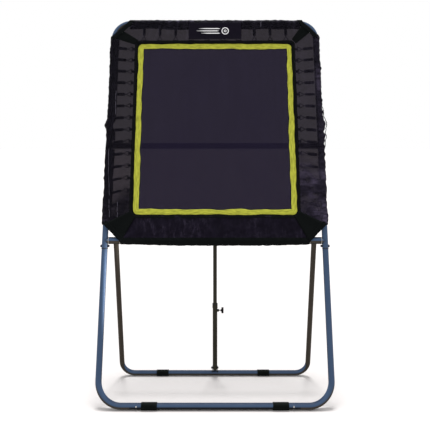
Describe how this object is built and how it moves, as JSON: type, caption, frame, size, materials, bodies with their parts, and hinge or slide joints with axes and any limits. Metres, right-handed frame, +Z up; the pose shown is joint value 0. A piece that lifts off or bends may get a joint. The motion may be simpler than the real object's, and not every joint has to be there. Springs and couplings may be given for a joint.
{
  "type": "pitch back rebounder",
  "caption": "Sprung rebound mat in a tilted tube frame, held up by a folding rear brace and a telescopic strut that sets its angle.",
  "frame": {"origin": "middle of the footprint box, on the ground", "axes": "+Z up, +X across the frame, the rebound face looks towards -Y and leans back towards +Y"},
  "size_m": [1.2338, 0.5868, 2.0767],
  "materials": {
    "frame_paint": "semi-gloss slate blue powder coat",
    "foot_rubber": "matt black moulded rubber",
    "zinc_hardware": "bright zinc plate",
    "spring_steel": "galvanised wire",
    "nylon": "natural nylon",
    "black_plastic": "black moulded plastic",
    "mat_weave": "close-woven polypropylene mesh",
    "trim_webbing": "yellow-green woven webbing with a line of stitching",
    "black_webbing": "black woven webbing",
    "cover_mesh": "see-through black polyester mesh",
    "badge_fabric": "opaque black cloth patch"
  },
  "bodies": {
    "frame": {"top_tube": "frame_paint", "left_side_tube": "frame_paint", "right_side_tube": "frame_paint", "lower_crossbar": "frame_paint", "mid_crossbar": "frame_paint", "left_leg": "frame_paint", "right_leg": "frame_paint", "base_bar": "frame_paint", "left_front_foot": "foot_rubber", "right_front_foot": "foot_rubber", "leg_bolts": "zinc_hardware", "leg_nuts": "zinc_hardware", "leg_washers": "zinc_hardware", "snap_springs": "zinc_hardware", "upper_strut_ears": "frame_paint", "upper_strut_bolt": "zinc_hardware", "upper_strut_nut": "zinc_hardware", "mat": "mat_weave", "mat_trim": "trim_webbing", "edge_webbing": "black_webbing", "ring_loops": "black_webbing", "v_rings": "spring_steel", "springs_left": "spring_steel", "springs_right": "spring_steel", "springs_top": "spring_steel", "springs_bottom": "spring_steel", "cover_left": "cover_mesh", "cover_right": "cover_mesh", "cover_top": "cover_mesh", "cover_bottom": "cover_mesh", "corner_bands": "black_webbing", "cover_binding": "black_webbing", "badge_patch": "badge_fabric"},
    "rear_brace": {"rear_brace_tube": "frame_paint", "pivot_sleeves": "frame_paint", "pivot_bushings": "nylon", "left_rear_foot": "foot_rubber", "right_rear_foot": "foot_rubber", "lower_strut_ears": "frame_paint", "lower_strut_bolt": "zinc_hardware", "lower_strut_nut": "zinc_hardware"},
    "strut_upper": {"strut_inner_tube": "frame_paint"},
    "strut_lower": {"strut_outer_tube": "frame_paint", "strut_collar": "black_plastic", "lock_boss": "frame_paint"},
    "lock_pad": {"lock_pad": "black_plastic"},
    "lock_knob": {"lock_screw": "zinc_hardware", "lock_knob": "black_plastic"},
    "left_snap_button": {"left_snap_button": "zinc_hardware"},
    "right_snap_button": {"right_snap_button": "zinc_hardware"}
  },
  "joints": [
    {"name": "rear_fold", "type": "hinge", "parent": "frame", "child": "rear_brace", "pos_m": [0, -0.05963, 0.81925], "axis": [1, 0, 0], "range_deg": [-18, 8]},
    {"name": "strut_upper_hinge", "type": "hinge", "parent": "frame", "child": "strut_upper", "pos_m": [0, -0.00581, 0.84624], "axis": [1, 0, 0], "range_deg": [-17.57, 7.86]},
    {"name": "strut_lower_hinge", "type": "hinge", "parent": "rear_brace", "child": "strut_lower", "pos_m": [0, 0.10374, 0.04976], "axis": [1, 0, 0], "range_deg": [-0.256, 0.551]},
    {"name": "lock_pad_slide", "type": "slide", "parent": "strut_lower", "child": "lock_pad", "axis": [1, 0, 0], "range_m": [0, 0.00375]},
    {"name": "lock_knob_turn", "type": "hinge", "parent": "lock_pad", "child": "lock_knob", "pos_m": [0.01265, 0.0555, 0.40046], "axis": [1, 0, 0], "range_deg": [0, 1082]},
    {"name": "left_button_press", "type": "slide", "parent": "frame", "child": "left_snap_button", "axis": [0, 0.9659, -0.2588], "range_m": [0, 0.004], "stiffness_N_per_m": 800, "springref_m": -0.003},
    {"name": "right_button_press", "type": "slide", "parent": "frame", "child": "right_snap_button", "axis": [0, 0.9659, -0.2588], "range_m": [0, 0.004], "stiffness_N_per_m": 800, "springref_m": -0.003}
  ],
  "couplings": [
    {"joint": "strut_upper_hinge", "follows": "rear_fold", "ratio": 0.9705},
    {"joint": "strut_lower_hinge", "follows": "rear_fold", "ratio": -0.0295},
    {"joint": "lock_knob_turn", "follows": "lock_pad_slide", "rad_per_m": 5026.6}
  ]
}
